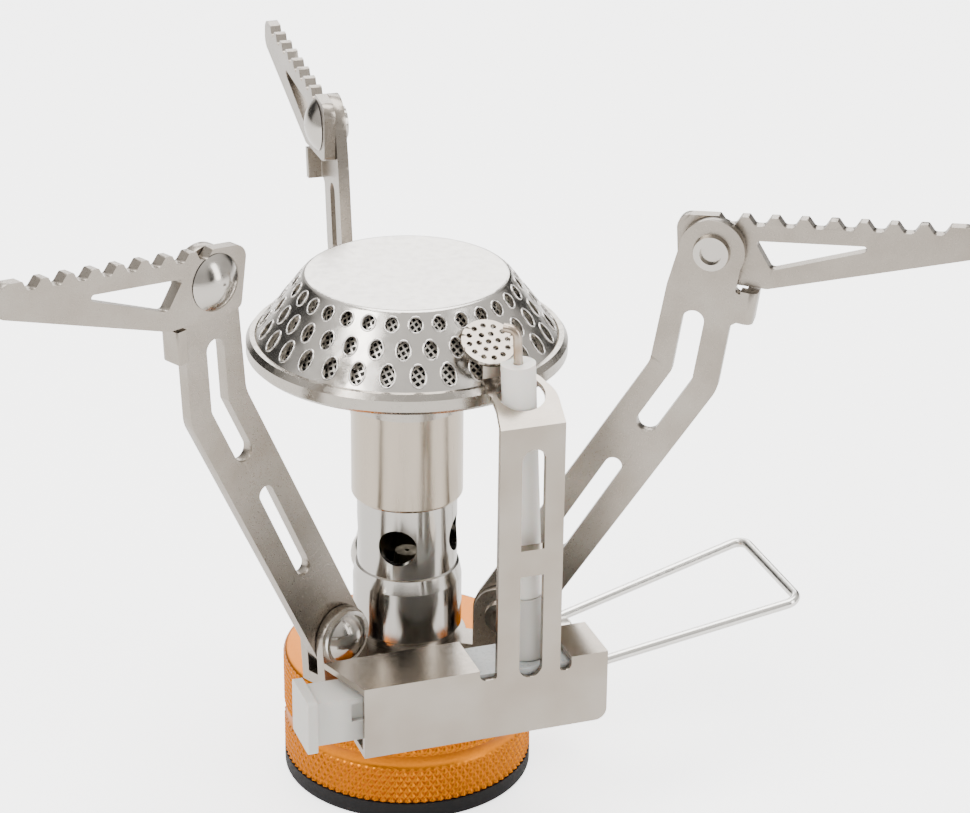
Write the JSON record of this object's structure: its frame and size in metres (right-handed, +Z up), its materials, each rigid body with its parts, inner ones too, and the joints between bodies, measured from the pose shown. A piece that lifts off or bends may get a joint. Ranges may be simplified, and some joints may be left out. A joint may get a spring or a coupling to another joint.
{
  "type": "folding camping stove",
  "caption": "Screw-on folding gas camping stove with hinged toothed pot supports, conical burner, wire valve handle and piezo igniter.",
  "frame": {"origin": "centre of the threaded socket's mouth, in the plane of the canister seat", "axes": "+Z up along the burner's axis; +X to the right of someone facing the igniter, -Y towards them"},
  "size_m": [0.1116, 0.1145, 0.0854],
  "materials": {
    "seat_rubber": "matt black",
    "orange_anodised": "orange anodised, satin",
    "brass": "turned",
    "seal_rubber": "matt black",
    "steel_mesh": "woven wire",
    "polished_steel": "polished",
    "satin_steel": "satin, pressed sheet",
    "spring_steel": "bright wire",
    "grey_plastic": "light grey",
    "white_ceramic": "glazed white",
    "electrode_alloy": "heat tinted",
    "case_plastic": "pale bluish grey"
  },
  "bodies": {
    "stove": {"canister_seat_ring": "seat_rubber", "base_housing": "orange_anodised", "valve_body": "brass", "canister_seal": "seal_rubber", "opening_pin": "brass", "inlet_filter": "steel_mesh", "jet_nozzle": "brass", "spindle_seal": "seal_rubber", "gland_nut": "brass", "lock_washer": "polished_steel", "leg_bracket": "satin_steel", "leg_rivets": "polished_steel", "leg_spring_washers": "spring_steel", "burner_column": "polished_steel", "mixing_tube": "polished_steel", "burner_pan": "polished_steel", "burner_cap": "polished_steel", "flame_mesh": "steel_mesh", "igniter_bracket": "satin_steel", "piezo_case": "case_plastic", "piezo_spring": "spring_steel", "electrode_socket": "grey_plastic", "insulator": "white_ceramic", "electrode_wire": "electrode_alloy"},
    "leg_right_body": {"leg_right": "satin_steel", "arm_rivet_right": "polished_steel"},
    "pot_arm_right_body": {"pot_arm_right": "satin_steel"},
    "leg_back_body": {"leg_back": "satin_steel", "arm_rivet_back": "polished_steel"},
    "pot_arm_back_body": {"pot_arm_back": "satin_steel"},
    "leg_left_body": {"leg_left": "satin_steel", "arm_rivet_left": "polished_steel"},
    "pot_arm_left_body": {"pot_arm_left": "satin_steel"},
    "valve": {"valve_spindle": "polished_steel"},
    "handle": {"wire_handle": "spring_steel"},
    "button": {"piezo_button": "grey_plastic"}
  },
  "joints": [
    {"name": "leg_right_fold", "type": "hinge", "parent": "stove", "child": "leg_right_body", "pos_m": [0.01274, -0.00306, 0.0236], "axis": [0.2334, 0.9724, 0], "range_deg": [-13, 45]},
    {"name": "pot_arm_right_fold", "type": "hinge", "parent": "leg_right_body", "child": "pot_arm_right_body", "pos_m": [0.03677, -0.00883, 0.07541], "axis": [-0.2334, -0.9724, 0], "range_deg": [0, 170]},
    {"name": "leg_back_fold", "type": "hinge", "parent": "stove", "child": "leg_back_body", "pos_m": [-0.00372, 0.01256, 0.0236], "axis": [-0.9588, -0.284, 0], "range_deg": [-13, 45]},
    {"name": "pot_arm_back_fold", "type": "hinge", "parent": "leg_back_body", "child": "pot_arm_back_body", "pos_m": [-0.01074, 0.03625, 0.07541], "axis": [0.9588, 0.284, 0], "range_deg": [0, 170]},
    {"name": "leg_left_fold", "type": "hinge", "parent": "stove", "child": "leg_left_body", "pos_m": [-0.00902, -0.0095, 0.0236], "axis": [0.7254, -0.6884, 0], "range_deg": [-8, 45]},
    {"name": "pot_arm_left_fold", "type": "hinge", "parent": "leg_left_body", "child": "pot_arm_left_body", "pos_m": [-0.02286, -0.02408, 0.07737], "axis": [-0.7254, 0.6884, 0], "range_deg": [0, 170]},
    {"name": "valve_turn", "type": "hinge", "parent": "stove", "child": "valve", "pos_m": [0.01885, 0.00668, 0.0126], "axis": [0.9426, 0.3338, 0], "range_deg": [0, 540]},
    {"name": "handle_fold", "type": "hinge", "parent": "valve", "child": "handle", "pos_m": [0.01923, 0.00681, 0.0126], "axis": [-0.3338, 0.9426, 0], "range_deg": [-30, 25]},
    {"name": "button_press", "type": "slide", "parent": "stove", "child": "button", "axis": [0.9426, 0.3338, 0], "range_m": [0, 0.004], "stiffness_N_per_m": 800, "springref_m": -0.002}
  ]
}
